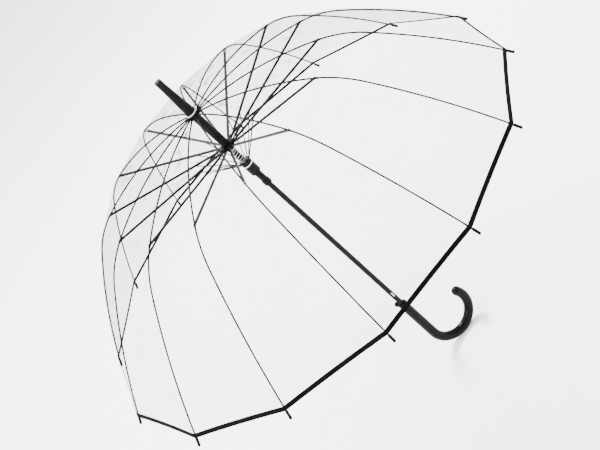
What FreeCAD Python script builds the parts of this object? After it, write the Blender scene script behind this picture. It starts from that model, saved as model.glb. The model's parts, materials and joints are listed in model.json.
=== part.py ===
"""Clear bubble umbrella: an assembly of separate pieces, millimetres, +Z along the shaft to the ferrule.

The origin is the middle of the straight grip of the handle. The umbrella is drawn fully open.
Ribs are numbered from the hook's side (+X), counterclockwise seen from the ferrule.
"""
import FreeCAD, Part
import Sketcher
import math
import os

os.makedirs("parts", exist_ok=True)
doc = FreeCAD.newDocument("bubble_umbrella")
sheet = doc.addObject("Spreadsheet::Sheet", "Dims")

DIMENSIONS = (
    ("rib_count", 14),
    # the linkage, as points (radius, height) of the radial plane
    ("pivot_radius", 10.5),
    ("notch_pivot_height", 644),
    ("joint_radius", 253),
    ("joint_height", 599),
    ("rim_radius", 480),
    ("rim_height", 349),
    ("rib_turn_inner", 24),
    ("rib_turn_bend", 24),
    ("rim_slope", 57.7),
    ("strut_joint_share", 0.25),
    ("strut_joint_drop", 0.7),
    ("runner_pivot_radius", 9),
    ("runner_pivot_height", 507),
    # ribs, stretchers and struts
    ("rib_wire_radius", 1.5),
    ("eye_thickness", 1.0),
    ("eye_radius", 1.9),
    ("hub_eye_radius", 2.2),
    ("hub_eye_hole", 0.75),
    ("pin_radius", 0.6),
    ("pin_hole", 0.68),
    ("tip_radius", 2.7),
    ("tip_length", 17),
    ("tip_wall", 1),
    ("tip_overlap", 3),
    ("hole_reach", 3),
    ("rib_neck_reach", 9),
    ("rib_eye_reach", 6),
    ("rib_ear_low", 0.62),
    ("rib_ear_high", 1.35),
    ("rib_ear_reach", 7),
    ("stretcher_neck_reach", 12),
    ("stretcher_fork_reach", 10),
    ("stretcher_ear_low", 1.65),
    ("stretcher_ear_high", 2.3),
    ("strut_eye_radius", 1.5),
    ("strut_eye_reach", 8),
    ("channel_width", 4.0),
    ("channel_depth", 3.2),
    ("channel_wall", 0.6),
    ("strut_radius", 1.0),
    # hubs that hold the pivot wires
    ("hub_radius", 13),
    ("hub_above", 3.5),
    ("hub_below", 4.5),
    ("slot_width", 1.4),
    ("slot_floor", 0.8),
    ("slot_inner_radius", 7.6),
    ("ring_wire_radius", 0.6),
    ("ring_groove_radius", 0.65),
    ("slider_skirt_radius", 8),
    ("slider_skirt_length", 5),
    # runner
    ("runner_radius", 10.5),
    ("runner_body_length", 29),
    ("runner_sleeve_radius", 6.75),
    ("runner_sleeve_length", 24),
    ("runner_flange_radius", 8),
    ("runner_flange_length", 10),
    ("runner_slot_clearance", 0.5),
    ("trim_radius", 10.9),
    ("trim_height", 2.2),
    # shaft and what is fixed to it
    ("shaft_radius", 5.2),
    ("shaft_wall", 0.8),
    ("shaft_top", 700),
    ("shaft_bottom", -8),
    ("fixed_bore", 5.25),
    ("running_bore", 5.28),
    ("sleeve_radius", 8.2),
    ("sleeve_gap", 0.5),
    ("spring_radius", 6.9),
    ("spring_wire_radius", 0.6),
    ("spring_turns", 7),
    # cap, ferrule
    ("film_height", 647.8),
    ("film_thickness", 0.5),
    ("cap_radius", 12.2),
    ("cap_thickness", 2.2),
    ("ferrule_base_radius", 10.4),
    ("ferrule_neck_radius", 9.7),
    ("ferrule_base_height", 4),
    ("ferrule_tip_radius", 6.9),
    ("ferrule_tip_length", 16),
    ("ferrule_length", 84),
    # canopy and hem
    ("film_gap", 2.4),
    ("film_inner_radius", 5.7),
    ("film_nub_radius", 13.6),
    ("film_join", 50),
    ("hem_width", 8),
    ("hem_gap", 1.9),
    ("hem_thickness", 1.4),
    # handle
    ("grip_radius", 9.75),
    ("grip_top", 50),
    ("hook_start", -53),
    ("hook_radius", 48),
    ("hook_turn", 203),
    ("grip_edge", 2.5),
    ("button_radius", 4.0),
    ("button_height", 36),
    ("button_stand", 2.0),
    ("button_travel", 1.8),
    ("button_clearance", 0.1),
    ("button_pocket", 4.2),
    ("catch_height", 83),
    ("catch_length", 9),
    ("catch_width", 2.2),
    ("catch_stand", 1.6),
    ("catch_clearance", 0.1),
    ("snap_radius", 4.2),
    ("snap_thickness", 1.6),
    ("snap_gore", 10),
    ("snap_share", 0.207),
    ("snap_above_hem", 10),
    ("snap_gap", 0.35),
)
for row, (alias, value) in enumerate(DIMENSIONS, start=1):
    sheet.set(f"A{row}", alias)
    sheet.set(f"B{row}", str(value))
    sheet.setAlias(f"B{row}", alias)
doc.recompute()


def dim(alias):
    return float(getattr(sheet, alias))


Z_AXIS = FreeCAD.Vector(0, 0, 1)
Y_AXIS = FreeCAD.Vector(0, 1, 0)
ORIGIN = FreeCAD.Vector(0, 0, 0)
COUNT = int(dim("rib_count"))
STEP = 360.0 / COUNT


# ---------------------------------------------------------------- primitives bound to the sheet

def bind(target, **expressions):
    for name, text in expressions.items():
        target.setExpression(name.replace("__", "."), text)
    return target


def cylinder(name, radius, low, height):
    made = doc.addObject("Part::Cylinder", name)
    bind(made, Radius=radius, Height=height, Placement__Base__z=low)
    return made


def cone(name, low_radius, high_radius, low, height):
    made = doc.addObject("Part::Cone", name)
    bind(made, Radius1=low_radius, Radius2=high_radius, Height=height, Placement__Base__z=low)
    return made


def torus(name, radius, wire, height):
    made = doc.addObject("Part::Torus", name)
    bind(made, Radius1=radius, Radius2=wire, Placement__Base__z=height)
    return made


def fuse(name, pieces):
    made = doc.addObject("Part::MultiFuse", name)
    made.Shapes = pieces
    return made


def cut(name, base, tool):
    made = doc.addObject("Part::Cut", name)
    made.Base = base
    made.Tool = tool
    return made


SUBPARTS = []


def subpart(made, label):
    made.Label = label
    SUBPARTS.append((label, made))
    return made


# ---------------------------------------------------------------- part design helpers

def origin_plane(body, role):
    return next(item for item in body.Origin.OriginFeatures if item.Role == role)


def sketch_on(body, name, role, height=None):
    made = body.newObject("Sketcher::SketchObject", name)
    made.AttachmentSupport = [(origin_plane(body, role), "")]
    made.MapMode = "FlatFace"
    if height:
        made.setExpression("AttachmentOffset.Base.z", height)
    return made


def add_circle(sketch, name, radius, across=None):
    """A circle centred on the sketch's horizontal axis, at the distance that across gives."""
    start = 0.0 if across is None else 1.0
    index = sketch.addGeometry(Part.Circle(FreeCAD.Vector(start, 0, 0), Z_AXIS, 1.0), False)
    sketch.addConstraint(Sketcher.Constraint("Radius", index, 1.0))
    sketch.renameConstraint(sketch.ConstraintCount - 1, name + "_radius")
    sketch.setExpression("Constraints." + name + "_radius", radius)
    if across is None:
        sketch.addConstraint(Sketcher.Constraint("Coincident", index, 3, -1, 1))
        return
    sketch.addConstraint(Sketcher.Constraint("PointOnObject", index, 3, -1))
    sketch.addConstraint(Sketcher.Constraint("DistanceX", -1, 1, index, 3, 1.0))
    sketch.renameConstraint(sketch.ConstraintCount - 1, name + "_across")
    sketch.setExpression("Constraints." + name + "_across", across)


def add_slot(sketch, inner, outer, width):
    """A rectangle from inner to outer along X, centred on the X axis, with the given width."""
    corners = [FreeCAD.Vector(x, y, 0) for x, y in ((1, -1), (2, -1), (2, 1), (1, 1))]
    for index in range(4):
        sketch.addGeometry(Part.LineSegment(corners[index], corners[(index + 1) % 4]), False)
    for index in range(4):
        sketch.addConstraint(Sketcher.Constraint("Coincident", index, 2, (index + 1) % 4, 1))
    for index in (0, 2):
        sketch.addConstraint(Sketcher.Constraint("Horizontal", index))
    sketch.addConstraint(Sketcher.Constraint("Vertical", 3))
    sketch.addConstraint(Sketcher.Constraint("Symmetric", 1, 1, 1, 2, -1))
    named = (
        ("inner", Sketcher.Constraint("DistanceX", -1, 1, 0, 1, 1.0), inner),
        ("outer", Sketcher.Constraint("DistanceX", -1, 1, 0, 2, 2.0), outer),
        ("width", Sketcher.Constraint("DistanceY", 1, 1, 1, 2, 2.0), width),
    )
    for name, constraint, expression in named:
        sketch.addConstraint(constraint)
        sketch.renameConstraint(sketch.ConstraintCount - 1, name)
        sketch.setExpression("Constraints." + name, expression)


def slotted_hub(name, low, high, radius, bore, slot_high, slot_depth, pivot_radius, pivot_height):
    """A ring with one slot for each rib, and a round groove that holds the pivot wire."""
    body = doc.addObject("PartDesign::Body", name)
    ring = sketch_on(body, name + "_ring", "XY_Plane", low)
    add_circle(ring, "outer", radius)
    add_circle(ring, "bore", bore)
    pad = body.newObject("PartDesign::Pad", name + "_pad")
    pad.Profile = ring
    pad.setExpression("Length", f"{high} - ({low})")
    slot = sketch_on(body, name + "_slot", "XY_Plane", slot_high)
    slot_inner = "Dims.slot_inner_radius - Dims.pivot_radius + " + pivot_radius
    add_slot(slot, slot_inner, radius + " + 2", "Dims.slot_width")
    pocket = body.newObject("PartDesign::Pocket", name + "_pocket")
    pocket.Profile = slot
    pocket.setExpression("Length", slot_depth)
    doc.recompute()
    pattern = body.newObject("PartDesign::PolarPattern", name + "_slots")
    pattern.Originals = [pocket]
    pattern.Axis = (next(item for item in body.Origin.OriginFeatures if item.Role == "Z_Axis"), [""])
    pattern.Angle = 360
    pattern.Occurrences = COUNT
    body.Tip = pattern
    doc.recompute()
    groove_line = torus(name + "_groove", pivot_radius, "Dims.ring_groove_radius", pivot_height)
    return cut(name + "_grooved", body, groove_line)


# ---------------------------------------------------------------- the rib's line

def plane_point(radius, height, side=0.0):
    return FreeCAD.Vector(radius, side, height)


NOTCH_PIVOT = plane_point(dim("pivot_radius"), dim("notch_pivot_height"))
JOINT = plane_point(dim("joint_radius"), dim("joint_height"))
RIM = plane_point(dim("rim_radius"), dim("rim_height"))
# The stretcher is as long as the rib's inner part, so the upper slider's pivot lies
# as far below the joint as the notch's pivot lies above it.
SLIDER_PIVOT = plane_point(NOTCH_PIVOT.x, 2 * JOINT.z - NOTCH_PIVOT.z)
RUNNER_PIVOT = plane_point(dim("runner_pivot_radius"), dim("runner_pivot_height"))


class Bend:
    """An arc of the rib's line. Slopes are degrees below the horizontal, going outward."""

    def __init__(self, start, slope, radius, turn):
        self.slope = slope
        self.radius = radius
        self.turn = turn
        self.centre = start - self.normal(slope) * radius
        self.length = radius * math.radians(turn)

    @staticmethod
    def normal(slope):
        angle = math.radians(slope)
        return plane_point(math.sin(angle), math.cos(angle))

    def point(self, along, offset=0.0):
        slope = self.slope + self.turn * along / self.length
        return self.centre + self.normal(slope) * (self.radius + offset)

    def edge(self, start, end, offset=0.0):
        middle = (start + end) / 2
        points = [self.point(along, offset) for along in (start, middle, end)]
        return Part.Arc(*points).toShape()


def inner_bend():
    chord = JOINT.sub(NOTCH_PIVOT)
    half_turn = dim("rib_turn_inner") / 2
    chord_slope = math.degrees(math.atan2(-chord.z, chord.x))
    radius = chord.Length / (2 * math.sin(math.radians(half_turn)))
    return Bend(NOTCH_PIVOT, chord_slope - half_turn, radius, 2 * half_turn)


def outer_bends(first_slope):
    """Two tangent arcs from the joint to the rim: a tight one, then a wide one."""
    middle_slope = first_slope + dim("rib_turn_bend")
    last_slope = dim("rim_slope")
    angles = [math.radians(slope) for slope in (first_slope, middle_slope, last_slope)]
    sines = [math.sin(angle) for angle in angles]
    cosines = [math.cos(angle) for angle in angles]
    across = [sines[1] - sines[0], sines[2] - sines[1]]
    down = [cosines[0] - cosines[1], cosines[1] - cosines[2]]
    span = RIM.sub(JOINT)
    scale = across[0] * down[1] - across[1] * down[0]
    tight = (span.x * down[1] + span.z * across[1]) / scale
    wide = (-across[0] * span.z - down[0] * span.x) / scale
    first = Bend(JOINT, first_slope, tight, middle_slope - first_slope)
    second = Bend(first.point(first.length), middle_slope, wide, last_slope - middle_slope)
    return first, second


INNER = inner_bend()
TIGHT, WIDE = outer_bends(INNER.slope + INNER.turn)


# ---------------------------------------------------------------- shapes in the radial plane

def line(start, end):
    return Part.LineSegment(start, end).toShape()


def round_bar(start, end, radius):
    run = end.sub(start)
    return Part.makeCylinder(radius, run.Length, start, run)


def cross_pin(centre, radius, low, high):
    return Part.makeCylinder(radius, high - low, centre + Y_AXIS * low, Y_AXIS)


def plate(start, end, half_width, low, high):
    """A flat bar between two points of the radial plane, from low to high across it."""
    run = end.sub(start)
    run.normalize()
    side = run.cross(Y_AXIS) * half_width
    corners = [start + side, end + side, end - side, start - side, start + side]
    corners = [corner + Y_AXIS * low for corner in corners]
    return Part.Face(Part.makePolygon(corners)).extrude(Y_AXIS * (high - low))


def swept_wire(edges, radius):
    path = Part.Wire(edges)
    first = edges[0]
    start = first.valueAt(first.FirstParameter)
    tangent = first.tangentAt(first.FirstParameter)
    circle = Part.Wire(Part.Circle(start, tangent, radius).toShape())
    return path.makePipeShell([circle], True, False)


def joined(shapes, cuts=()):
    solid = shapes[0].fuse(list(shapes[1:]))
    if cuts:
        solid = solid.cut(list(cuts))
    return solid.removeSplitter()


def rib_inner_shape():
    """Notch eye, flattened neck, round wire, and the eye on the stretcher's pin."""
    half = dim("eye_thickness") / 2
    wire = dim("rib_wire_radius")
    wire_start = dim("rib_neck_reach")
    wire_end = INNER.length - dim("rib_eye_reach")
    pieces = [
        cross_pin(NOTCH_PIVOT, dim("hub_eye_radius"), -half, half),
        plate(NOTCH_PIVOT, INNER.point(wire_start), wire, -half, half),
        swept_wire([INNER.edge(wire_start - 1, wire_end + 2)], wire),
        plate(INNER.point(wire_end), JOINT, wire, -half, half),
        cross_pin(JOINT, dim("eye_radius"), -half, half),
    ]
    reach = dim("hole_reach")
    holes = [
        cross_pin(NOTCH_PIVOT, dim("hub_eye_hole"), -reach, reach),
        cross_pin(JOINT, dim("pin_hole"), -reach, reach),
    ]
    return joined(pieces, holes)


def rounded_cap(start, along):
    """A round cap with a domed end, turned about its own line."""
    radius = dim("tip_radius")
    side = along.cross(Y_AXIS) * radius
    shoulder = start + along * (dim("tip_length") - dim("tip_wall") - radius)
    end = shoulder + along * radius
    middle = shoulder + (side + along * radius) * math.sqrt(0.5)
    outline = [
        line(start, start + side),
        line(start + side, shoulder + side),
        Part.Arc(shoulder + side, middle, end).toShape(),
        line(end, start),
    ]
    return Part.Face(Part.Wire(outline)).revolve(start, along, 360)


def rib_outer_shape():
    """Two ears on the stretcher's pin, round wire along the film, and the rounded tip cap."""
    wire = dim("rib_wire_radius")
    ear_low = dim("rib_ear_low")
    ear_high = dim("rib_ear_high")
    ear_reach = dim("rib_ear_reach")
    normal = Bend.normal(dim("rim_slope"))
    along = plane_point(normal.z, -normal.x)
    path = [
        TIGHT.edge(ear_reach - 2.5, TIGHT.length),
        WIDE.edge(0, WIDE.length),
        line(RIM, RIM + along * dim("tip_overlap")),
    ]
    pieces = [swept_wire(path, wire), rounded_cap(RIM + along * dim("tip_wall"), along)]
    for low, high in ((ear_low, ear_high), (-ear_high, -ear_low)):
        pieces.append(plate(JOINT, TIGHT.point(ear_reach), wire, low, high))
        pieces.append(cross_pin(JOINT, dim("eye_radius"), low, high))
    reach = dim("hole_reach")
    return joined(pieces, [cross_pin(JOINT, dim("pin_hole"), -reach, reach)])


def stretcher_line():
    run = JOINT.sub(SLIDER_PIVOT)
    length = run.Length
    run.normalize()
    return run, length


def stretcher_shape():
    """A channel that opens downward, an eye on the slider's wire, and a fork round the rib."""
    run, length = stretcher_line()
    half = dim("eye_thickness") / 2
    width = dim("channel_width") / 2
    depth = dim("channel_depth") / 2
    wall = dim("channel_wall")
    up = run.cross(Y_AXIS)

    def at(along, lift=0.0):
        return SLIDER_PIVOT + run * along + up * lift

    channel_start = dim("stretcher_neck_reach")
    channel_end = length - dim("stretcher_fork_reach")
    web_lift = depth - wall / 2
    pieces = [
        plate(at(channel_start, web_lift), at(channel_end, web_lift), wall / 2, -width, width),
        plate(at(channel_start), at(channel_end), depth, width - wall, width),
        plate(at(channel_start), at(channel_end), depth, -width, wall - width),
        cross_pin(SLIDER_PIVOT, dim("hub_eye_radius"), -half, half),
        plate(SLIDER_PIVOT, at(channel_start + 4), dim("rib_wire_radius"), -half, half),
    ]
    ear_low = dim("stretcher_ear_low")
    ear_high = dim("stretcher_ear_high")
    for low, high in ((ear_low, ear_high), (-ear_high, -ear_low)):
        pieces.append(plate(at(channel_end - 6), JOINT, dim("rib_wire_radius"), low, high))
        pieces.append(cross_pin(JOINT, dim("eye_radius"), low, high))
    pieces.append(cross_pin(JOINT, dim("pin_radius"), -ear_high, ear_high))
    pieces.append(cross_pin(strut_joint(), dim("pin_radius"), -width, width))
    reach = dim("hole_reach")
    return joined(pieces, [cross_pin(SLIDER_PIVOT, dim("hub_eye_hole"), -reach, reach)])


def strut_joint():
    run, length = stretcher_line()
    up = run.cross(Y_AXIS)
    return SLIDER_PIVOT + run * (length * dim("strut_joint_share")) - up * dim("strut_joint_drop")


def strut_shape():
    """A thin round strut with a flat eye at each end."""
    half = dim("eye_thickness") / 2
    start = strut_joint()
    run = RUNNER_PIVOT.sub(start)
    length = run.Length
    run.normalize()
    radius = dim("strut_radius")
    eye = dim("strut_eye_radius")
    flat = dim("strut_eye_reach")
    pieces = [
        cross_pin(start, eye, -half, half),
        plate(start, start + run * flat, radius, -half, half),
        round_bar(start + run * (flat - 1), start + run * (length - flat + 1), radius),
        plate(start + run * (length - flat), RUNNER_PIVOT, radius, -half, half),
        cross_pin(RUNNER_PIVOT, eye, -half, half),
    ]
    reach = dim("hole_reach")
    holes = [
        cross_pin(start, dim("pin_hole"), -reach, reach),
        cross_pin(RUNNER_PIVOT, dim("hub_eye_hole"), -reach, reach),
    ]
    return joined(pieces, holes)


def turned(shape, degrees):
    copy = shape.copy()
    copy.rotate(ORIGIN, Z_AXIS, degrees)
    return copy


def placed_set(label, shape):
    """The same piece once for each rib, each an object of its own turned about the shaft."""
    for index in range(COUNT):
        made = doc.addObject("Part::Feature", f"{label}_{index + 1:02d}")
        made.Shape = shape
        made.Placement = FreeCAD.Placement(ORIGIN, FreeCAD.Rotation(Z_AXIS, index * STEP))
        subpart(made, made.Name)


def strip_outline(offset, thickness, hem_start):
    """The film's outline in the radial plane, from the shaft's hole to the hem."""
    low = dim("film_height")
    outlines = []
    for shift in (0.0, thickness):
        hole = plane_point(dim("film_inner_radius"), low + shift)
        nub = plane_point(dim("film_nub_radius"), low + shift)
        join = INNER.point(dim("film_join"), offset + shift)
        edges = [
            line(hole, nub),
            line(nub, join),
            INNER.edge(dim("film_join"), INNER.length, offset + shift),
            TIGHT.edge(0, TIGHT.length, offset + shift),
            WIDE.edge(0, hem_start, offset + shift),
        ]
        outlines.append((hole, edges, WIDE.point(hem_start, offset + shift)))
    (low_hole, low_edges, low_end), (high_hole, high_edges, high_end) = outlines
    edges = low_edges + [line(low_end, high_end)] + high_edges[::-1] + [line(high_hole, low_hole)]
    return Part.Wire(edges)


def hem_outline(hem_start):
    offset = dim("hem_gap")
    outer = offset + dim("hem_thickness")
    end = WIDE.length
    edges = [
        WIDE.edge(hem_start, end, offset),
        line(WIDE.point(end, offset), WIDE.point(end, outer)),
        WIDE.edge(hem_start, end, outer),
        line(WIDE.point(hem_start, outer), WIDE.point(hem_start, offset)),
    ]
    return Part.Wire(edges)


def gores(outline):
    """One gore between each two ribs, straight across from rib to rib."""
    gore = Part.makeLoft([outline, turned(outline, STEP)], True, True)
    return Part.makeCompound([turned(gore, index * STEP) for index in range(COUNT)])


def feature(label, shape):
    made = doc.addObject("Part::Feature", label)
    made.Shape = shape
    return subpart(made, label)


# ---------------------------------------------------------------- shaft, ferrule, cap

def build_shaft():
    length = "Dims.shaft_top - Dims.shaft_bottom"
    outer = cylinder("shaft_outer", "Dims.shaft_radius", "Dims.shaft_bottom", length)
    inner = cylinder(
        "shaft_inner",
        "Dims.shaft_radius - Dims.shaft_wall",
        "Dims.shaft_bottom - 1",
        length + " + 2",
    )
    window = doc.addObject("Part::Box", "catch_window")
    bind(
        window,
        Length="Dims.catch_width + 2 * Dims.catch_clearance",
        Width="Dims.shaft_radius",
        Height="Dims.catch_length + 2 * Dims.catch_clearance",
        Placement__Base__x="-Dims.catch_width / 2 - Dims.catch_clearance",
        Placement__Base__y="-Dims.shaft_radius - 1",
        Placement__Base__z="Dims.catch_height - Dims.catch_length / 2 - Dims.catch_clearance",
    )
    subpart(cut("shaft_tube", outer, fuse("shaft_voids", [inner, window])), "shaft")


def build_ferrule():
    low = "Dims.film_height + Dims.film_thickness + Dims.cap_thickness"
    tip_low = low + " + Dims.ferrule_length - Dims.ferrule_tip_length"
    base = cylinder("ferrule_base", "Dims.ferrule_base_radius", low, "Dims.ferrule_base_height")
    taper = cone(
        "ferrule_taper",
        "Dims.ferrule_neck_radius",
        "Dims.ferrule_tip_radius",
        low + " + Dims.ferrule_base_height",
        "Dims.ferrule_length - Dims.ferrule_tip_length - Dims.ferrule_base_height",
    )
    tip = cylinder("ferrule_tip", "Dims.ferrule_tip_radius", tip_low, "Dims.ferrule_tip_length")
    bore_depth = "Dims.shaft_top + 1.1 - (" + low + ")"
    bore = cylinder("ferrule_bore", "Dims.fixed_bore", low + " - 1", bore_depth)
    body = fuse("ferrule_body", [base, taper, tip])
    subpart(cut("ferrule_bored", body, bore), "ferrule")


def tube(name, outer, inner, low, height):
    wall = cylinder(name + "_outer", outer, low, height)
    hole = cylinder(name + "_bore", inner, low + " - 1", height + " + 2")
    return cut(name + "_tube", wall, hole)


def build_fixed_rings():
    cap_low = "Dims.film_height + Dims.film_thickness"
    cap = tube("cap", "Dims.cap_radius", "Dims.fixed_bore", cap_low, "Dims.cap_thickness")
    subpart(cap, "top_cap")
    notch_low = "Dims.notch_pivot_height - Dims.hub_below"
    slider_high = "2 * Dims.joint_height - Dims.notch_pivot_height + Dims.hub_below"
    sleeve_low = slider_high + " + Dims.sleeve_gap"
    sleeve_length = notch_low + " - (" + sleeve_low + ")"
    sleeve = tube("sleeve", "Dims.sleeve_radius", "Dims.fixed_bore", sleeve_low, sleeve_length)
    subpart(sleeve, "stop_sleeve")


def build_hubs():
    notch = slotted_hub(
        "notch",
        "Dims.notch_pivot_height - Dims.hub_below",
        "Dims.notch_pivot_height + Dims.hub_above",
        "Dims.hub_radius",
        "Dims.fixed_bore",
        "Dims.notch_pivot_height + Dims.hub_above - Dims.slot_floor",
        "Dims.hub_above + Dims.hub_below",
        "Dims.pivot_radius",
        "Dims.notch_pivot_height",
    )
    subpart(notch, "top_notch")
    wire = "Dims.ring_wire_radius"
    subpart(torus("notch_wire", "Dims.pivot_radius", wire, "Dims.notch_pivot_height"), "notch_ring")
    pivot = "2 * Dims.joint_height - Dims.notch_pivot_height"
    slider = slotted_hub(
        "slider",
        pivot + " - Dims.hub_above",
        pivot + " + Dims.hub_below",
        "Dims.hub_radius",
        "Dims.running_bore",
        pivot + " + Dims.hub_below + 0.1",
        "Dims.hub_above + Dims.hub_below - 0.7",
        "Dims.pivot_radius",
        pivot,
    )
    skirt_low = pivot + " - Dims.hub_above - Dims.slider_skirt_length"
    skirt_length = "Dims.slider_skirt_length"
    skirt = tube("skirt", "Dims.slider_skirt_radius", "Dims.running_bore", skirt_low, skirt_length)
    subpart(fuse("slider_body", [slider, skirt]), "upper_slider")
    subpart(torus("slider_wire", "Dims.pivot_radius", wire, pivot), "slider_ring")


def build_runner():
    pivot = "Dims.runner_pivot_height"
    crown = slotted_hub(
        "crown",
        pivot + " - Dims.hub_above",
        pivot + " + Dims.hub_below",
        "Dims.runner_radius",
        "Dims.running_bore",
        pivot + " + Dims.hub_below + 0.1",
        "Dims.hub_above + Dims.hub_below - 0.7",
        "Dims.runner_pivot_radius",
        pivot,
    )
    body_low = pivot + " - Dims.runner_body_length"
    body_high = pivot + " - Dims.hub_above"
    body_length = body_high + " - (" + body_low + ")"
    bore = "Dims.running_bore"
    barrel = tube("barrel", "Dims.runner_radius", bore, body_low, body_length)
    band_low = body_high + " - Dims.trim_height - 1"
    seat = tube("seat", "Dims.runner_radius + 1", "Dims.runner_radius - 0.8", band_low, "Dims.trim_height")
    sleeve_low = body_low + " - Dims.runner_sleeve_length"
    sleeve = tube("grip", "Dims.runner_sleeve_radius", bore, sleeve_low, "Dims.runner_sleeve_length")
    flange_low = sleeve_low + " - Dims.runner_flange_length"
    flange = tube("flange", "Dims.runner_flange_radius", bore, flange_low, "Dims.runner_flange_length")
    # The slot lets the catch stand inside the sleeve while the umbrella is folded.
    slot = doc.addObject("Part::Box", "runner_slot")
    bind(
        slot,
        Length="Dims.catch_width + 2 * Dims.runner_slot_clearance",
        Width="Dims.runner_radius",
        Height="Dims.runner_sleeve_length + Dims.runner_flange_length + 2",
        Placement__Base__x="-Dims.catch_width / 2 - Dims.runner_slot_clearance",
        Placement__Base__y="-Dims.runner_radius - 1",
        Placement__Base__z=flange_low + " - 1",
    )
    body = fuse("runner_body", [crown, barrel, sleeve, flange])
    subpart(cut("runner_cut", body, fuse("runner_voids", [seat, slot])), "runner")
    band_bore = "Dims.runner_radius - 0.75"
    band = tube("band", "Dims.trim_radius", band_bore, band_low + " + 0.05", "Dims.trim_height - 0.1")
    wire = torus("runner_wire", "Dims.runner_pivot_radius", "Dims.ring_wire_radius", pivot)
    pair = doc.addObject("Part::Compound", "runner_metal")
    pair.Links = [band, wire]
    subpart(pair, "runner_trim")


def build_spring():
    """The opening spring, between the slider's skirt and the runner."""
    low = dim("runner_pivot_height") + dim("hub_below") + 0.1
    high = SLIDER_PIVOT.z - dim("hub_above") - dim("slider_skirt_length") - 0.1
    wire = dim("spring_wire_radius")
    height = high - low - 2 * wire
    helix = Part.makeHelix(height / dim("spring_turns"), height, dim("spring_radius"))
    helix.translate(Z_AXIS * (low + wire))
    start = helix.Edges[0].valueAt(helix.Edges[0].FirstParameter)
    tangent = helix.Edges[0].tangentAt(helix.Edges[0].FirstParameter)
    circle = Part.Wire(Part.Circle(start, tangent, wire).toShape())
    coil = Part.Wire(helix.Edges).makePipeShell([circle], True, True)
    feature("main_spring", coil)


# ---------------------------------------------------------------- handle, button, catch

def build_handle():
    body = doc.addObject("PartDesign::Body", "grip_body")
    section = sketch_on(body, "grip_section", "XY_Plane", "Dims.grip_top")
    add_circle(section, "grip", "Dims.grip_radius")
    path = sketch_on(body, "grip_path", "XZ_Plane")
    radius = dim("hook_radius")
    bottom = FreeCAD.Vector(0, dim("hook_start"), 0)
    turn = math.radians(dim("hook_turn"))
    path.addGeometry(Part.LineSegment(FreeCAD.Vector(0, dim("grip_top"), 0), bottom), False)
    centre = FreeCAD.Vector(radius, dim("hook_start"), 0)
    circle = Part.Circle(centre, Z_AXIS, radius)
    path.addGeometry(Part.ArcOfCircle(circle, math.pi, math.pi + turn), False)
    pipe = body.newObject("PartDesign::AdditivePipe", "grip_pipe")
    pipe.Profile = section
    pipe.Spine = path
    doc.recompute()
    ball = doc.addObject("Part::Sphere", "hook_end")
    end = FreeCAD.Vector(radius - radius * math.cos(turn), 0, dim("hook_start") - radius * math.sin(turn))
    bind(ball, Radius="Dims.grip_radius")
    ball.Placement.Base = end
    collar_top = "Dims.grip_radius - Dims.grip_edge"
    collar = cone("grip_shoulder", "Dims.grip_radius", collar_top, "Dims.grip_top", "Dims.grip_edge")
    bore_length = "Dims.grip_top - Dims.shaft_bottom + 10"
    bore = cylinder("grip_bore", "Dims.fixed_bore", "Dims.shaft_bottom - 0.1", bore_length)
    pocket = cylinder("button_pocket_hole", "Dims.button_radius + Dims.button_clearance", "0", "20")
    aim(pocket, "-Dims.grip_radius - 5", "Dims.button_height")
    pocket.setExpression("Height", "Dims.button_pocket + 5")
    solid = fuse("grip_solid", [body, ball, collar])
    subpart(cut("grip_cut", solid, fuse("grip_voids", [bore, pocket])), "handle")


def aim(target, across, height):
    """Turns a cylinder to lie along +X from the given place on the handle's back."""
    target.Placement = FreeCAD.Placement(ORIGIN, FreeCAD.Rotation(Y_AXIS, 90))
    target.setExpression("Placement.Base.x", across)
    target.setExpression("Placement.Base.z", height)


def build_button():
    button = cylinder("button_body", "Dims.button_radius", "0", "10")
    aim(button, "-Dims.grip_radius - Dims.button_stand", "Dims.button_height")
    button.setExpression("Height", "Dims.button_stand + Dims.button_pocket - Dims.button_travel - 0.1")
    subpart(button, "push_button")


def build_catch():
    """A wedge that stands out of the shaft's window and holds the folded runner."""
    half = dim("catch_width") / 2
    low = dim("catch_height") - dim("catch_length") / 2
    high = low + dim("catch_length")
    front = -dim("shaft_radius") - dim("catch_stand")
    back = -dim("shaft_radius") + dim("shaft_wall")
    outline = ((back, low), (front, low), (front, low + 2), (-dim("shaft_radius"), high), (back, high))
    points = [FreeCAD.Vector(-half, y, height) for y, height in outline]
    face = Part.Face(Part.makePolygon(points + points[:1]))
    feature("runner_catch", face.extrude(FreeCAD.Vector(2 * half, 0, 0)))


# ---------------------------------------------------------------- canopy

def build_canopy():
    hem_start = WIDE.length - dim("hem_width")
    feature("canopy", gores(strip_outline(dim("film_gap"), dim("film_thickness"), hem_start)))
    feature("hem", gores(hem_outline(hem_start)))


def build_snap():
    """The press stud of the tie, riveted through the film just above the hem."""
    along = WIDE.length - dim("hem_width") - dim("snap_above_hem")
    gore = dim("snap_gore")
    share = dim("snap_share")
    film_top = dim("film_gap") + dim("film_thickness")
    left = turned(Part.Vertex(WIDE.point(along, film_top)), gore * STEP).Point
    right = turned(Part.Vertex(WIDE.point(along, film_top)), (gore + 1) * STEP).Point
    spot = left + (right - left) * share
    below = turned(Part.Vertex(WIDE.point(along + 5, film_top)), gore * STEP).Point
    normal = (right - left).cross(below - left)
    if normal.dot(spot) < 0:
        normal = normal * -1
    normal.normalize()
    radius = dim("snap_radius")
    thickness = dim("snap_thickness")
    gap = dim("snap_gap")
    inside = spot - normal * (dim("film_thickness") + gap + thickness)
    socket = Part.makeCylinder(radius, thickness, inside, normal)
    cap = Part.makeCylinder(radius, thickness, spot + normal * gap, normal)
    feature("snap_stud", Part.makeCompound([socket, cap]))


# ---------------------------------------------------------------- assembly

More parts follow.
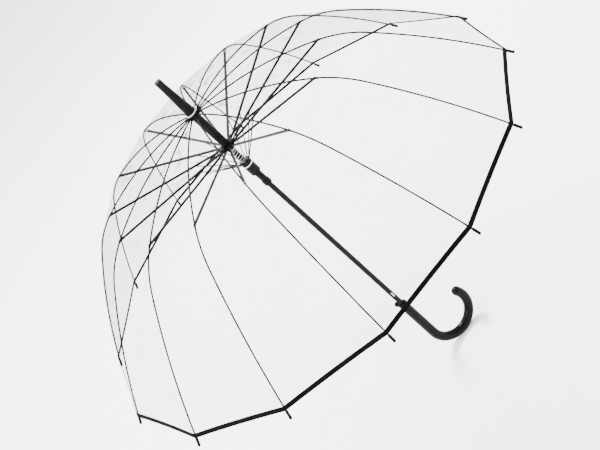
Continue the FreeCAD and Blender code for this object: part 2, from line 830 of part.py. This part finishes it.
build_shaft()
build_ferrule()
build_fixed_rings()
build_hubs()
build_runner()
build_spring()
build_handle()
build_button()
build_catch()
build_canopy()
build_snap()
placed_set("rib_inner", rib_inner_shape())
placed_set("rib_outer", rib_outer_shape())
placed_set("stretcher", stretcher_shape())
feature("struts", Part.makeCompound([turned(strut_shape(), index * STEP) for index in range(COUNT)]))
doc.recompute()

for item in doc.Objects:
    for word in ("Invalid", "Error"):
        if word in item.State:
            raise RuntimeError(f"{item.Label} is {word}")
for label, item in SUBPARTS:
    if item.Shape.isNull() or not item.Shape.isValid() or item.Shape.Volume <= 0:
        raise RuntimeError(f"{label} has no valid shape")
    item.Shape.exportStep(f"parts/{label}.step")
    print(label, len(item.Shape.Solids), round(item.Shape.Volume, 1))
print("sub-parts", len(SUBPARTS))
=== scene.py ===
import json
import math

import bpy
from mathutils import Matrix, Vector


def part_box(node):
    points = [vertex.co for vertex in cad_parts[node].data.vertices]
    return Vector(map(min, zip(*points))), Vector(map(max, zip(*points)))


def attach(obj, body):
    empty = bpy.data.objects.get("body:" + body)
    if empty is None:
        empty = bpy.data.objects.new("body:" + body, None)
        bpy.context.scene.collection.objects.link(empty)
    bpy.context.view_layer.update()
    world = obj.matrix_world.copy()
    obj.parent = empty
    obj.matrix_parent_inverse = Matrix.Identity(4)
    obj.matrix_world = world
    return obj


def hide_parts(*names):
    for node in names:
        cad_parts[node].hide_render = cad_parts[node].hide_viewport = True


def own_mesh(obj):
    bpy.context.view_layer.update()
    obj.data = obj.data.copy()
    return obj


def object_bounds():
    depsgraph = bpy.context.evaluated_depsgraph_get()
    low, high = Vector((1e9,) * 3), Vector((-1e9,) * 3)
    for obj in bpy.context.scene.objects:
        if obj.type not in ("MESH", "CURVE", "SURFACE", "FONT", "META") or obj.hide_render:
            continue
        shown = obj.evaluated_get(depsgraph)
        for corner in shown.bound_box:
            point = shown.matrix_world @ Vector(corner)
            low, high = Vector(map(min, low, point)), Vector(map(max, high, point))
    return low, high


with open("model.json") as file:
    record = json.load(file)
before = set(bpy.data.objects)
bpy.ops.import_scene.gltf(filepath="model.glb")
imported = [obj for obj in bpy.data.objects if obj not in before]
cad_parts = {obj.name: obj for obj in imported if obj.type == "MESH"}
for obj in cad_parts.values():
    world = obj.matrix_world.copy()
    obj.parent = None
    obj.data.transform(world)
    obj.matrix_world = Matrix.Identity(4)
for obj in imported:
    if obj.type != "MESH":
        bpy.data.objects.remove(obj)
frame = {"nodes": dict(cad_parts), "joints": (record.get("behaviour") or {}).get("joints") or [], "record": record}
cad_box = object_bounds()

# ---------------------------------------------------------------- sizes, in metres and degrees

COUNT = sum(name.startswith("rib_inner_") for name in frame["nodes"])
STEP = 2 * math.pi / COUNT
JOINTS = {joint["name"]: joint for joint in frame["joints"]}

# The rib's line, in the radial plane: notch pivot, stretcher joint, rim.
RIM_RADIUS = 0.480
RIM_HEIGHT = 0.349
TURN_INNER = 24.0
TURN_BEND = 24.0
RIM_SLOPE = 57.7

FILM_GAP = 0.00265
FILM_HOLE_RADIUS = 0.0057
FILM_NUB_RADIUS = 0.0136
FILM_TOP = 0.64805
FILM_JOIN = 0.050
FILM_SAG = 0.010
HEM_WIDTH = 0.0085
HEM_SCALLOP = 0.0010


def radial(point):
    """A joint's place as (radius, height)."""
    return Vector((math.hypot(point[0], point[1]), point[2]))


PIVOT = radial(JOINTS["canopy_fold"]["pos_m"])
JOINT = radial(JOINTS["rib_flex_01"]["pos_m"])
SLIDER_PIVOT = radial(JOINTS["slider_pivot"]["pos_m"])
RIM = Vector((RIM_RADIUS, RIM_HEIGHT))


# ---------------------------------------------------------------- camera, light, floor

CAMERA_PLACE = (-0.2687, -2.2502, 1.5653)
CAMERA_HEADING = 83.68
CAMERA_PITCH = -28.47
CAMERA_ROLL = 48.10
CAMERA_LENS = 82.72


def add_camera():
    heading, pitch = math.radians(CAMERA_HEADING), math.radians(CAMERA_PITCH)
    level = Vector((math.cos(heading), math.sin(heading), 0))
    view = level * math.cos(pitch) + Vector((0, 0, math.sin(pitch)))
    side = view.cross(Vector((0, 0, 1))).normalized()
    lift = side.cross(view)
    roll = math.radians(CAMERA_ROLL)
    right = side * math.cos(roll) - lift * math.sin(roll)
    up = lift * math.cos(roll) + side * math.sin(roll)
    data = bpy.data.cameras.new("photo_camera")
    data.lens = CAMERA_LENS
    data.sensor_width = 36.0
    data.clip_start = 0.01
    camera = bpy.data.objects.new("photo_camera", data)
    turn = Matrix((right, up, -view)).transposed().to_4x4()
    camera.matrix_world = Matrix.Translation(CAMERA_PLACE) @ turn
    bpy.context.scene.collection.objects.link(camera)
    bpy.context.scene.camera = camera


def add_area(name, place, target, size, power):
    data = bpy.data.lights.new(name, "AREA")
    data.shape = "RECTANGLE"
    data.size, data.size_y = size
    data.energy = power
    light = bpy.data.objects.new(name, data)
    light.location = place
    aim = (Vector(target) - Vector(place)).to_track_quat("-Z", "Y")
    light.rotation_euler = aim.to_euler()
    bpy.context.scene.collection.objects.link(light)


def add_overhead(name, toward, strength, spread):
    """A very wide, soft lamp that lights the floor evenly."""
    data = bpy.data.lights.new(name, "SUN")
    data.energy = strength
    data.angle = math.radians(spread)
    light = bpy.data.objects.new(name, data)
    light.rotation_euler = Vector(toward).to_track_quat("Z", "Y").to_euler()
    bpy.context.scene.collection.objects.link(light)


WORLD_STRENGTH = 2.3
OVERHEAD_STRENGTH = 3.4
OVERHEAD_SPREAD = 60
CROWN_WINDOW_POWER = 420
SIDE_WINDOW_POWER = 120


def add_studio():
    world = bpy.data.worlds.new("studio")
    world.use_nodes = True
    background = world.node_tree.nodes["Background"]
    background.inputs["Color"].default_value = (1.0, 1.0, 1.0, 1.0)
    background.inputs["Strength"].default_value = WORLD_STRENGTH
    bpy.context.scene.world = world
    add_overhead("overhead", (-0.35, 0.25, 1.0), OVERHEAD_STRENGTH, OVERHEAD_SPREAD)
    add_area("crown_window", (0.55, 1.6, 3.1), (0, -0.1, 0.6), (0.9, 0.5), CROWN_WINDOW_POWER)
    add_area("side_window", (-2.6, -1.0, 1.9), (0, 0, 0.3), (0.6, 1.6), SIDE_WINDOW_POWER)


FLOOR_HALF = 14.0
FLOOR_GAP = 0.0005


def add_floor():
    """A wide pale sheet just under the object."""
    low = cad_box[0][2] - FLOOR_GAP
    signs = ((-1, -1), (1, -1), (1, 1), (-1, 1))
    corners = [(FLOOR_HALF * x, FLOOR_HALF * y, low) for x, y in signs]
    mesh = bpy.data.meshes.new("floor")
    mesh.from_pydata(corners, [], [(0, 1, 2, 3)])
    floor = bpy.data.objects.new("floor", mesh)
    bpy.context.scene.collection.objects.link(floor)
    paper = Shader("pale_floor")
    paper.surface(base=(0.94, 0.945, 0.955), rough=0.9, specular=0.1)
    floor.data.materials.append(paper.material)


# ---------------------------------------------------------------- materials

class Shader:
    """A node material: one Principled surface and whatever texture nodes feed it."""

    def __init__(self, name):
        self.material = bpy.data.materials.new(name)
        self.material.use_nodes = True
        self.tree = self.material.node_tree
        self.bsdf = self.tree.nodes["Principled BSDF"]

    def node(self, kind, **values):
        made = self.tree.nodes.new(kind)
        for name, value in values.items():
            setattr(made, name, value)
        return made

    def link(self, source, target):
        self.tree.links.new(source, target)

    def surface(self, base, rough, specular=0.5, metal=0.0, coat=0.0, coat_rough=0.05):
        values = {
            "Base Color": (*base, 1.0),
            "Roughness": rough,
            "Specular IOR Level": specular,
            "Metallic": metal,
            "Coat Weight": coat,
            "Coat Roughness": coat_rough,
        }
        for name, value in values.items():
            self.bsdf.inputs[name].default_value = value

    def place(self, stretch=(1, 1, 1)):
        coordinates = self.node("ShaderNodeTexCoord")
        mapping = self.node("ShaderNodeMapping")
        mapping.inputs["Scale"].default_value = stretch
        self.link(coordinates.outputs["Object"], mapping.inputs["Vector"])
        return mapping.outputs["Vector"]

    def noise(self, scale, detail=3.0, stretch=(1, 1, 1), distortion=0.0):
        made = self.node("ShaderNodeTexNoise")
        made.inputs["Scale"].default_value = scale
        made.inputs["Detail"].default_value = detail
        made.inputs["Distortion"].default_value = distortion
        self.link(self.place(stretch), made.inputs["Vector"])
        return made.outputs["Fac"]

    def ramp(self, source, low, high, low_at=0.3, high_at=0.7):
        made = self.node("ShaderNodeMapRange")
        made.inputs["From Min"].default_value = low_at
        made.inputs["From Max"].default_value = high_at
        made.inputs["To Min"].default_value = low
        made.inputs["To Max"].default_value = high
        self.link(source, made.inputs["Value"])
        return made.outputs["Result"]

    def math(self, operation, first, second):
        made = self.node("ShaderNodeMath", operation=operation)
        self.link(first, made.inputs[0])
        self.link(second, made.inputs[1])
        return made.outputs["Value"]

    def tint(self, source, dark, light):
        made = self.node("ShaderNodeMix", data_type="RGBA")
        made.inputs["A"].default_value = (*dark, 1.0)
        made.inputs["B"].default_value = (*light, 1.0)
        self.link(source, made.inputs["Factor"])
        self.link(made.outputs["Result"], self.bsdf.inputs["Base Color"])

    def roughen(self, source):
        self.link(source, self.bsdf.inputs["Roughness"])

    def bump(self, source, depth, strength=1.0, after=None):
        made = self.node("ShaderNodeBump")
        made.inputs["Distance"].default_value = depth
        made.inputs["Strength"].default_value = strength
        self.link(source, made.inputs["Height"])
        if after is not None:
            self.link(after, made.inputs["Normal"])
        self.link(made.outputs["Normal"], self.bsdf.inputs["Normal"])
        return made.outputs["Normal"]


FILM_TINT = (0.11, 0.12, 0.17)
# Colour of the pale crease lines round the crown: partly the real creased vinyl, partly a painted glint.
CREASE_GLINT_TINT = (0.95, 0.96, 0.98)


def film_material():
    """Clear vinyl: nearly invisible face on, denser at a slant, rippled, with pale creases round the crown that
    are partly real crease marks and partly a painted glint.
    """
    made = Shader("clear_vinyl_film")
    made.surface(base=FILM_TINT, rough=0.13, specular=0.8)
    facing = made.node("ShaderNodeLayerWeight")
    facing.inputs["Blend"].default_value = 0.35
    haze = made.ramp(made.noise(5.0, 2.0), 0.0, 0.03)
    slant = made.ramp(facing.outputs["Facing"], 0.115, 0.30, 0.25, 0.95)
    # Painted glint: pale, denser crease lines near the crown, partly real creases in the vinyl and partly a
    # painted highlight in place of reflections on the film.
    crown = made.node("ShaderNodeVectorMath", operation="DISTANCE")
    made.link(made.place(), crown.inputs[0])
    crown.inputs[1].default_value = (0.0, 0.0, FILM_TOP)
    near_crown = made.ramp(crown.outputs["Value"], 1.0, 0.12, 0.06, 0.30)
    crease_glint_noise = made.ramp(made.noise(21.0, 6.0, distortion=2.0), 0.0, 1.0, 0.56, 0.66)
    crease_glint_mask = made.math("MULTIPLY", crease_glint_noise, near_crown)
    crease_glint_alpha = made.ramp(crease_glint_mask, 0.0, 0.45, 0.0, 1.0)
    total = made.math("ADD", made.math("ADD", haze, slant), crease_glint_alpha)
    made.link(total, made.bsdf.inputs["Alpha"])
    made.tint(crease_glint_mask, FILM_TINT, CREASE_GLINT_TINT)
    made.roughen(made.ramp(made.noise(9.0, 3.0), 0.08, 0.20))
    ripples = made.bump(made.noise(9.0, 3.0, (1, 1, 0.35), 0.8), 0.02, 0.35)
    made.bump(made.noise(48.0, 3.0, distortion=0.6), 0.002, 0.22, ripples)
    return made.material


def binding_material():
    made = Shader("black_woven_binding")
    made.surface(base=(0.002, 0.002, 0.002), rough=0.85, specular=0.03)
    weave = made.noise(2600.0, 1.0)
    made.tint(made.ramp(made.noise(40.0, 3.0), 0, 1), (0.0012, 0.0012, 0.0014), (0.0035, 0.0035, 0.0040))
    made.roughen(made.ramp(weave, 0.72, 0.92))
    made.bump(weave, 0.0004, 0.6)
    return made.material


def moulded_material(name, dark, light, rough, grain):
    """Moulded plastic with a fine grain and slightly uneven gloss."""
    made = Shader(name)
    made.surface(base=dark, rough=rough, specular=0.07)
    made.tint(made.ramp(made.noise(30.0, 4.0), 0, 1), dark, light)
    made.roughen(made.ramp(made.noise(220.0, 3.0), rough - 0.07, rough + 0.08))
    made.bump(made.noise(1400.0, 2.0), grain, 0.35)
    return made.material


def handle_material():
    """Polished black plastic with a hard clear gloss and faint finger marks."""
    made = Shader("polished_black_handle")
    made.surface(base=(0.0015, 0.0015, 0.0017), rough=0.14, specular=0.055, coat=0.015, coat_rough=0.04)
    made.tint(made.ramp(made.noise(18.0, 3.0), 0, 1), (0.0010, 0.0010, 0.0012), (0.0028, 0.0028, 0.0031))
    made.roughen(made.ramp(made.noise(55.0, 4.0, distortion=0.8), 0.12, 0.26))
    made.bump(made.noise(26.0, 2.0), 0.0012, 0.10)
    return made.material


def enamel_material(name, dark, light, rough):
    """Black enamel on steel: satin, a little orange peel, worn very slightly lighter in places."""
    made = Shader(name)
    made.surface(base=dark, rough=rough, specular=0.07, coat=0.01, coat_rough=0.2)
    made.tint(made.ramp(made.noise(70.0, 4.0), 0, 1, 0.4, 0.75), dark, light)
    made.roughen(made.ramp(made.noise(300.0, 3.0), rough - 0.06, rough + 0.10))
    made.bump(made.noise(900.0, 2.0), 0.00025, 0.3)
    return made.material


def rod_material():
    """Drawn glass-fibre rod: fine streaks along it under a black coat."""
    made = Shader("black_fibre_rod")
    made.surface(base=(0.002, 0.002, 0.002), rough=0.4, specular=0.05)
    streaks = made.noise(900.0, 2.0, (0.25, 0.25, 1.0))
    made.tint(made.ramp(streaks, 0, 1), (0.0012, 0.0012, 0.0014), (0.0040, 0.0040, 0.0044))
    made.roughen(made.ramp(streaks, 0.30, 0.46))
    made.bump(streaks, 0.0002, 0.3)
    return made.material


def steel_material():
    made = Shader("bright_drawn_steel")
    made.surface(base=(0.62, 0.63, 0.65), rough=0.26, metal=1.0)
    brushed = made.noise(1100.0, 2.0, (1.0, 1.0, 0.12))
    made.tint(made.ramp(made.noise(60.0, 3.0), 0, 1), (0.50, 0.51, 0.54), (0.72, 0.73, 0.75))
    made.roughen(made.ramp(brushed, 0.18, 0.36))
    made.bump(brushed, 0.0002, 0.25)
    return made.material


def clear_cap_material():
    """Thick clear moulding, whiter than the film."""
    made = Shader("clear_moulded_cap")
    made.surface(base=(0.82, 0.84, 0.87), rough=0.14, specular=0.6)
    made.link(made.ramp(made.noise(120.0, 3.0), 0.42, 0.62), made.bsdf.inputs["Alpha"])
    made.roughen(made.ramp(made.noise(200.0, 3.0), 0.10, 0.22))
    made.bump(made.noise(500.0, 2.0), 0.0003, 0.2)
    return made.material


PLASTIC_TINTS = ((0.0015, 0.0015, 0.0018), (0.0040, 0.0040, 0.0046))
ENAMEL_TINTS = ((0.0020, 0.0022, 0.0034), (0.0050, 0.0055, 0.0080))

MATERIALS = {
    "clear_film": film_material(),
    "hem_binding": binding_material(),
    "black_plastic": moulded_material("black_moulded_plastic", *PLASTIC_TINTS, 0.42, 0.0002),
    "handle_plastic": handle_material(),
    "clear_cap": clear_cap_material(),
    "rib_black": rod_material(),
    "black_steel": enamel_material("black_enamel", *ENAMEL_TINTS, 0.34),
    "bright_steel": steel_material(),
}


def dress_cad_nodes():
    """Gives every CAD node the material of its slot in the record."""
    slots = {row["node"]: row["material_slot"] for row in frame["record"]["subparts"]}
    for name, node in frame["nodes"].items():
        for holder in node.material_slots:
            holder.material = MATERIALS[slots[name]]


# ---------------------------------------------------------------- the rib's line and the film over it

class Bend:
    """An arc of the rib's line. Slopes are degrees below the horizontal, going outward."""

    def __init__(self, start, slope, radius, turn):
        self.slope = slope
        self.radius = radius
        self.turn = turn
        self.centre = start - self.normal(slope) * radius
        self.length = radius * math.radians(turn)

    @staticmethod
    def normal(slope):
        angle = math.radians(slope)
        return Vector((math.sin(angle), math.cos(angle)))

    def point(self, along, offset=0.0):
        slope = self.slope + self.turn * along / self.length
        return self.centre + self.normal(slope) * (self.radius + offset)


def rib_bends():
    chord = JOINT - PIVOT
    first_slope = math.degrees(math.atan2(-chord.y, chord.x)) - TURN_INNER / 2
    radius = chord.length / (2 * math.sin(math.radians(TURN_INNER / 2)))
    inner = Bend(PIVOT, first_slope, radius, TURN_INNER)
    slopes = [first_slope + TURN_INNER, first_slope + TURN_INNER + TURN_BEND, RIM_SLOPE]
    angles = [math.radians(slope) for slope in slopes]
    across = [math.sin(angles[1]) - math.sin(angles[0]), math.sin(angles[2]) - math.sin(angles[1])]
    down = [math.cos(angles[0]) - math.cos(angles[1]), math.cos(angles[1]) - math.cos(angles[2])]
    span = RIM - JOINT
    scale = across[0] * down[1] - across[1] * down[0]
    tight = Bend(JOINT, slopes[0], (span.x * down[1] + span.y * across[1]) / scale, TURN_BEND)
    wide_radius = (-across[0] * span.y - down[0] * span.x) / scale
    wide = Bend(tight.point(tight.length), slopes[1], wide_radius, slopes[2] - slopes[1])
    return inner, tight, wide


INNER, TIGHT, WIDE = rib_bends()
JOINT_ALONG = INNER.length
RIM_ALONG = INNER.length + TIGHT.length + WIDE.length


def rib_point(along, offset):
    """A point of the rib's line by its distance along it, lifted outward by offset."""
    for bend in (INNER, TIGHT):
        if along <= bend.length:
            return bend.point(along, offset)
        along -= bend.length
    return WIDE.point(along, offset)


CROWN_LEVEL = 0.25
SAG_DROP = 0.5


def film_point(rib, along, share, offset=0.0):
    """A point of the film.

    along runs down the rib; share runs from -1 to 1, half a gore to each side of it.
    Near the crown the film runs level out to the nub, then slants down to the rib."""
    line = rib_point(max(along, FILM_JOIN), FILM_GAP + offset)
    if along < FILM_JOIN:
        drop = along / FILM_JOIN
        nub = Vector((FILM_NUB_RADIUS, FILM_TOP + offset))
        if drop < CROWN_LEVEL:
            hole = Vector((FILM_HOLE_RADIUS, FILM_TOP + offset))
            line = hole.lerp(nub, drop / CROWN_LEVEL)
        else:
            line = nub.lerp(line, (drop - CROWN_LEVEL) / (1 - CROWN_LEVEL))
    half = STEP / 2
    width = line.x * math.sin(half)
    inward = width * abs(share) * math.sin(half)
    sag = FILM_SAG * width * (1 - (1 - abs(share)) ** 2)
    radius = line.x - inward - sag
    across = width * share * math.cos(half)
    height = line.y - sag * SAG_DROP
    angle = rib * STEP
    out = Vector((math.cos(angle), math.sin(angle)))
    side = Vector((-math.sin(angle), math.cos(angle)))
    flat = out * radius + side * across
    return Vector((flat.x, flat.y, height))


NORMAL_STEP = 0.0005
NORMAL_SHARE = 0.02


def film_normal(rib, along, share):
    """The film's outward normal. On a rib it is the mean of both sides, so the crease looks rounded."""
    low, high = max(along - NORMAL_STEP, 0.0), min(along + NORMAL_STEP, RIM_ALONG)
    down = film_point(rib, high, share) - film_point(rib, low, share)
    if abs(share) > 1 - NORMAL_SHARE:
        angle = rib * STEP + math.copysign(STEP / 2, share)
        across = Vector((-math.sin(angle), math.cos(angle), 0.0))
    else:
        left = film_point(rib, along, share - NORMAL_SHARE)
        across = film_point(rib, along, share + NORMAL_SHARE) - left
    normal = down.cross(across).normalized()
    outward = Vector((math.cos(rib * STEP), math.sin(rib * STEP), 1.0))
    return normal if normal.dot(outward) > 0 else -normal


# ---------------------------------------------------------------- mesh helpers

def add_mesh(name, points, faces, material_slot):
    mesh = bpy.data.meshes.new(name)
    mesh.from_pydata([tuple(point) for point in points], [], faces)
    mesh.update()
    for face in mesh.polygons:
        face.use_smooth = True
    made = bpy.data.objects.new(name, mesh)
    bpy.context.scene.collection.objects.link(made)
    made.data.materials.append(MATERIALS[material_slot])
    return made


def grid_faces(rows, columns):
    """Quads over points that run row by row."""
    faces = []
    for row in range(rows - 1):
        for column in range(columns - 1):
            first = row * columns + column
            faces.append((first, first + 1, first + columns + 1, first + columns))
    return faces


def tube_faces(rings, sides):
    """Quads round rings of points, with a cap at each end."""
    faces = []
    for ring in range(rings - 1):
        here, after = ring * sides, (ring + 1) * sides
        for side in range(sides):
            turn = (side + 1) % sides
            faces.append((here + side, here + turn, after + turn, after + side))
    faces.append(tuple(reversed(range(sides))))
    faces.append(tuple(range((rings - 1) * sides, rings * sides)))
    return faces


def finish_piece(piece, body, material_slot, *nodes):
    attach(piece, body)
    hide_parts(*nodes)


def tangent_of(rib):
    """The level direction square to a rib's plane."""
    angle = rib * STEP
    return (-math.sin(angle), math.cos(angle), 0.0)


def radial_place(rib, radius, height):
    """A place, or a direction, in a rib's plane."""
    angle = rib * STEP
    return (radius * math.cos(angle), radius * math.sin(angle), height)


# ---------------------------------------------------------------- canopy film

ACROSS = 17
CROWDING = 1.15
CROWN_ROWS = 33
SKIRT_ROWS = 41
SEAM_SHIFT = 0.9


def spread_share(index):
    """One of the film's columns, from -1 to 1, a little closer together near the rib."""
    even = 2 * index / (ACROSS - 1) - 1
    return math.copysign(abs(even) ** CROWDING, even)


SHARES = [spread_share(index) for index in range(ACROSS)]
HALVES = ((-1, "left", SHARES[: ACROSS // 2 + 1]), (1, "right", SHARES[ACROSS // 2 :]))


def hole_along(share):
    """Where the film starts: at the edge of its hole, for every share."""
    return 0.0


def seam_along(share):
    """Where the crown film ends: near the joint's hinge line, a little lower between two ribs."""
    shift = JOINT.x * math.sin(STEP / 2) ** 2 * abs(share)
    return JOINT_ALONG + SEAM_SHIFT * shift


def scallop(share):
    """How far the hem rises between two rib tips."""
    return HEM_SCALLOP * (1 - (1 - abs(share)) ** 2)


def film_end_along(share):
    """Where the film ends: in the middle of the hem."""
    return RIM_ALONG - HEM_WIDTH / 2 - scallop(share)


def film_piece(name, rib, shares, start, end, rows):
    """A piece of the film between the lines start and end, over the given shares."""
    points, normals = [], []
    for row in range(rows):
        for share in shares:
            first, last = start(share), end(share)
            along = first + (last - first) * row / (rows - 1)
            points.append(film_point(rib, along, share))
            normals.append(film_normal(rib, along, share))
    piece = add_mesh(name, points, grid_faces(rows, len(shares)), "clear_film")
    piece.data.normals_split_custom_set_from_vertices([tuple(normal) for normal in normals])
    return piece


def declare_film(piece, body):
    finish_piece(piece, body, "clear_film", "canopy")


def gather(piece):
    """Gives the piece its own copy of its mesh."""
    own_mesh(piece)


def add_canopy():
    """The crown pieces ride on the inner ribs and the skirt halves on the outer ones."""
    run = (RIM - JOINT).normalized()
    out = Vector((-run.y, run.x))
    bulge = (rib_point(JOINT_ALONG + TIGHT.length, 0.0) - JOINT).dot(out)
    for rib in range(COUNT):
        label = f"{rib + 1:02d}"
        crown = film_piece(f"film_crown_{label}", rib, SHARES, hole_along, seam_along, CROWN_ROWS)
        declare_film(crown, f"rib_inner_{label}")
        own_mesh(crown)
        for side, word, shares in HALVES:
            name = f"film_skirt_{label}_{word}"
            skirt = film_piece(name, rib, shares, seam_along, film_end_along, SKIRT_ROWS)
            declare_film(skirt, f"rib_outer_{label}")
            gather(skirt)


# ---------------------------------------------------------------- hem

HEM_SIDES = 12
HEM_STEPS = 13
HEM_HALF_THICKNESS = 0.00065


def hem_half(rib, side):
    """Half a gore of the folded binding: a flat rounded band along the film's edge."""
    points = []
    for step in range(HEM_STEPS):
        share = side * step / (HEM_STEPS - 1)
        middle = film_end_along(share)
        for turn in range(HEM_SIDES):
            angle = 2 * math.pi * turn / HEM_SIDES * side
            across, thick = math.cos(angle), math.sin(angle)
            along = middle + math.copysign(abs(across) ** 0.5, across) * HEM_WIDTH / 2
            offset = math.copysign(abs(thick) ** 0.7, thick) * HEM_HALF_THICKNESS
            points.append(film_point(rib, along, share, offset))
    return points, tube_faces(HEM_STEPS, HEM_SIDES)


def add_hem():
    for rib in range(COUNT):
        label = f"{rib + 1:02d}"
        for side, word, _ in HALVES:
            points, faces = hem_half(rib, side)
            piece = add_mesh(f"hem_binding_{label}_{word}", points, faces, "hem_binding")
            finish_piece(piece, f"rib_outer_{label}", "hem_binding", "hem")
            gather(piece)


# ---------------------------------------------------------------- struts and spring

STRUT_RADIUS = 0.0010
STRUT_DROP = 0.0007
STRUT_SHARE = 0.25
RUNNER_PIVOT = Vector((0.009, 0.507))

# A strut's end: distance past the pivot, half height and half thickness, from the eye to the rod.
STRUT_END = (
    (-0.0016, 0.0006, 0.0005), (-0.0010, 0.0014, 0.0005), (0.0, 0.0016, 0.0005),
    (0.0014, 0.0013, 0.0005), (0.0030, 0.0011, 0.0006), (0.0060, STRUT_RADIUS, STRUT_RADIUS),
)


def tube_piece(name, path, radii, flatten, normal, material_slot, sides=12):
    """A tube along a path in a plane; flatten narrows it across the plane where it becomes an eye."""
    points = []
    for index, point in enumerate(path):
        before, after = path[max(index - 1, 0)], path[min(index + 1, len(path) - 1)]
        along = (after - before).normalized()
        lift = normal.cross(along).normalized()
        for side in range(sides):
            angle = 2 * math.pi * side / sides
            high = lift * radii[index] * math.cos(angle)
            points.append(point + high + normal * flatten[index] * math.sin(angle))
    return add_mesh(name, points, tube_faces(len(path), sides), material_slot)


def add_struts():
    """Each strut rides on its stretcher."""
    run = (JOINT - SLIDER_PIVOT).normalized()
    length = (JOINT - SLIDER_PIVOT).length
    lift = Vector((-run.y, run.x))
    start = SLIDER_PIVOT + run * (length * STRUT_SHARE) - lift * STRUT_DROP
    far_end = STRUT_END[::-1]
    radii = [row[1] for row in STRUT_END + far_end]
    flatten = [row[2] for row in STRUT_END + far_end]
    for rib in range(COUNT):
        label = f"{rib + 1:02d}"
        tangent = Vector(tangent_of(rib))
        first = Vector(radial_place(rib, start.x, start.y))
        last = Vector(radial_place(rib, RUNNER_PIVOT.x, RUNNER_PIVOT.y))
        along = (last - first).normalized()
        path = [first + along * row[0] for row in STRUT_END]
        path += [last - along * row[0] for row in far_end]
        piece = tube_piece(f"strut_{label}", path, radii, flatten, tangent, "black_steel")
        finish_piece(piece, f"stretcher_{label}", "black_steel", "struts")
        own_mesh(piece)


SPRING_WIRE = 0.0006
SPRING_RADIUS = 0.0069
SPRING_TURNS = 8
SPRING_STEPS = 28
SPRING_SIDES = 10
SPRING_EASED_FROM = 0.06
SPRING_EVEN_FROM = 0.08
SPRING_EVEN_PART = 0.45


def past_ends(share, start):
    """How far a share of the wire lies between start and the same distance from the other end."""
    return min(max((share - start) / (1 - 2 * start), 0), 1)


def spring_rise(share):
    """The coil's height at a share of its wire: flat at both ends, steepest in the middle."""
    eased = 0.5 - 0.5 * math.cos(math.pi * past_ends(share, SPRING_EASED_FROM))
    even = past_ends(share, SPRING_EVEN_FROM)
    return (1 - SPRING_EVEN_PART) * eased + SPRING_EVEN_PART * even


def add_spring():
    """The opening spring, with its end turns closed up, between the slider and the runner."""
    low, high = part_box("main_spring")
    bottom, top = low.z + SPRING_WIRE, high.z - SPRING_WIRE
    total = SPRING_TURNS * SPRING_STEPS
    points = []
    for index in range(total + 1):
        share = index / total
        angle = 2 * math.pi * SPRING_TURNS * share
        out = Vector((math.cos(angle), math.sin(angle), 0))
        rise = bottom + (top - bottom) * spring_rise(share)
        centre = out * SPRING_RADIUS + Vector((0, 0, rise))
        for side in range(SPRING_SIDES):
            turn = 2 * math.pi * side / SPRING_SIDES
            lift = Vector((0, 0, SPRING_WIRE * math.sin(turn)))
            points.append(centre + out * SPRING_WIRE * math.cos(turn) + lift)
    spring = add_mesh("opening_spring", points, tube_faces(total + 1, SPRING_SIDES), "bright_steel")
    finish_piece(spring, "upper_slider", "bright_steel", "main_spring")
    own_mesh(spring)


# ---------------------------------------------------------------- press stud

def turned_piece(name, outline, centre, axis, material_slot, sides=40):
    """A turned part: the outline is (radius, height) pairs along the axis."""
    axis = axis.normalized()
    first = axis.orthogonal().normalized()
    second = axis.cross(first)
    points = []
    for radius, height in outline:
        for side in range(sides):
            angle = 2 * math.pi * side / sides
            out = first * math.cos(angle) + second * math.sin(angle)
            points.append(centre + axis * height + out * radius)
    return add_mesh(name, points, tube_faces(len(outline), sides), material_slot)


SNAP_RIB = 10
SNAP_SHARE = 0.414
SNAP_ABOVE = 0.018
SNAP_OUTLINE = (
    (0.0006, -0.0019), (0.0036, -0.0019), (0.0040, -0.0016), (0.0040, -0.0004), (0.0032, -0.0002),
    (0.0032, 0.0002), (0.0042, 0.0004), (0.0042, 0.0014), (0.0036, 0.0020), (0.0020, 0.0019),
    (0.0016, 0.0015), (0.0006, 0.0015),
)


def add_snap():
    low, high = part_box("snap_stud")
    centre = (low + high) / 2
    normal = film_normal(SNAP_RIB, RIM_ALONG - SNAP_ABOVE, SNAP_SHARE)
    snap = turned_piece("press_stud", SNAP_OUTLINE, centre, normal, "black_plastic")
    finish_piece(snap, f"rib_outer_{SNAP_RIB + 1:02d}", "black_plastic", "snap_stud")
    gather(snap)


# ---------------------------------------------------------------- assembly

add_camera()
add_studio()
add_floor()
dress_cad_nodes()
add_canopy()
add_hem()
add_struts()
add_spring()
add_snap()
